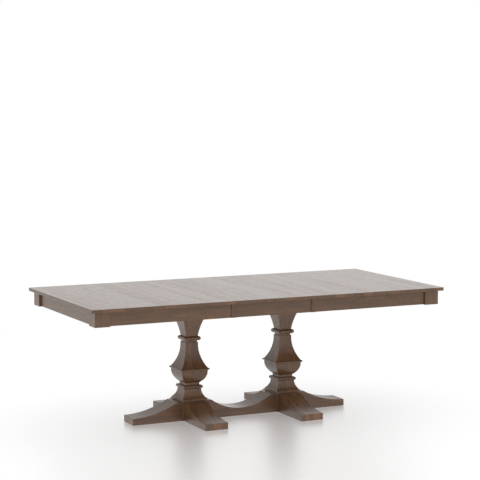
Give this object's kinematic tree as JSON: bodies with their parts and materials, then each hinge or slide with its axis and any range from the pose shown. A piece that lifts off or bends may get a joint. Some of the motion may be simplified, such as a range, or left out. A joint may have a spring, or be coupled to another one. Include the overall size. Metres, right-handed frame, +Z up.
{
  "type": "double pedestal dining table",
  "caption": "Extending wooden dining table: rectangular top with apron and drop-in leaf, on square baluster pedestals with curved feet joined by a scooped stretcher.",
  "frame": {"origin": "on the floor under the centre of the table", "axes": "+X along the table's length, -Y towards the front side of the picture, +Z up"},
  "size_m": [2.2352, 1.0668, 0.762],
  "materials": {
    "stained_wood": "brown stained birch under satin lacquer",
    "plain_wood": "bare planed hardwood",
    "steel": "zinc plated",
    "glide": "nylon glide"
  },
  "bodies": {
    "base": {"bolsters": "plain_wood", "fixed_rails": "plain_wood", "floor_glides": "glide", "foot_barrel_nuts": "steel", "foot_bolts": "steel", "gear_bridge": "plain_wood", "gear_stud": "steel", "left_back_foot": "stained_wood", "left_bell": "stained_wood", "left_bowl": "stained_wood", "left_capital": "stained_wood", "left_front_foot": "stained_wood", "left_hub": "stained_wood", "left_lower_collar": "stained_wood", "left_outer_foot": "stained_wood", "left_plinth": "stained_wood", "left_upper_collar": "stained_wood", "plate_bolts": "steel", "rail_screws": "steel", "right_back_foot": "stained_wood", "right_bell": "stained_wood", "right_bowl": "stained_wood", "right_capital": "stained_wood", "right_front_foot": "stained_wood", "right_hub": "stained_wood", "right_lower_collar": "stained_wood", "right_outer_foot": "stained_wood", "right_plinth": "stained_wood", "right_upper_collar": "stained_wood", "stretcher": "stained_wood", "tie_rod_nuts": "steel", "tie_rods": "steel", "top_plates": "plain_wood"},
    "left_half": {"left_back_apron": "stained_wood", "left_corner_blocks": "stained_wood", "left_end_apron": "stained_wood", "left_front_apron": "stained_wood", "left_leaf_bearers": "steel", "left_panel": "stained_wood", "left_rack": "steel", "left_screws": "steel", "left_seam_strips": "stained_wood", "left_slide_rails": "plain_wood"},
    "right_half": {"right_back_apron": "stained_wood", "right_corner_blocks": "stained_wood", "right_end_apron": "stained_wood", "right_front_apron": "stained_wood", "right_leaf_bearers": "steel", "right_panel": "stained_wood", "right_rack": "steel", "right_screws": "steel", "right_seam_strips": "stained_wood", "right_slide_rails": "plain_wood"},
    "leaf": {"leaf_back_apron": "stained_wood", "leaf_front_apron": "stained_wood", "leaf_panel": "stained_wood", "leaf_seam_strips": "stained_wood"},
    "pinion": {"pinion": "steel"}
  },
  "joints": [
    {"name": "left_half_slide", "type": "slide", "parent": "base", "child": "left_half", "axis": [-1, 0, 0], "range_m": [0, 0.0508]},
    {"name": "right_half_slide", "type": "slide", "parent": "base", "child": "right_half", "axis": [1, 0, 0], "range_m": [0, 0.0508]},
    {"name": "pinion_spin", "type": "hinge", "parent": "base", "child": "pinion", "pos_m": [0, 0, 0.735], "axis": [0, 0, 1], "range_deg": [0, 116.53]},
    {"name": "leaf_lift", "type": "slide", "parent": "base", "child": "leaf", "axis": [0, 0, 1], "range_m": [0, 0.3]}
  ],
  "couplings": [
    {"joint": "right_half_slide", "follows": "left_half_slide", "ratio": 1},
    {"joint": "pinion_spin", "follows": "left_half_slide", "rad_per_m": 40}
  ]
}
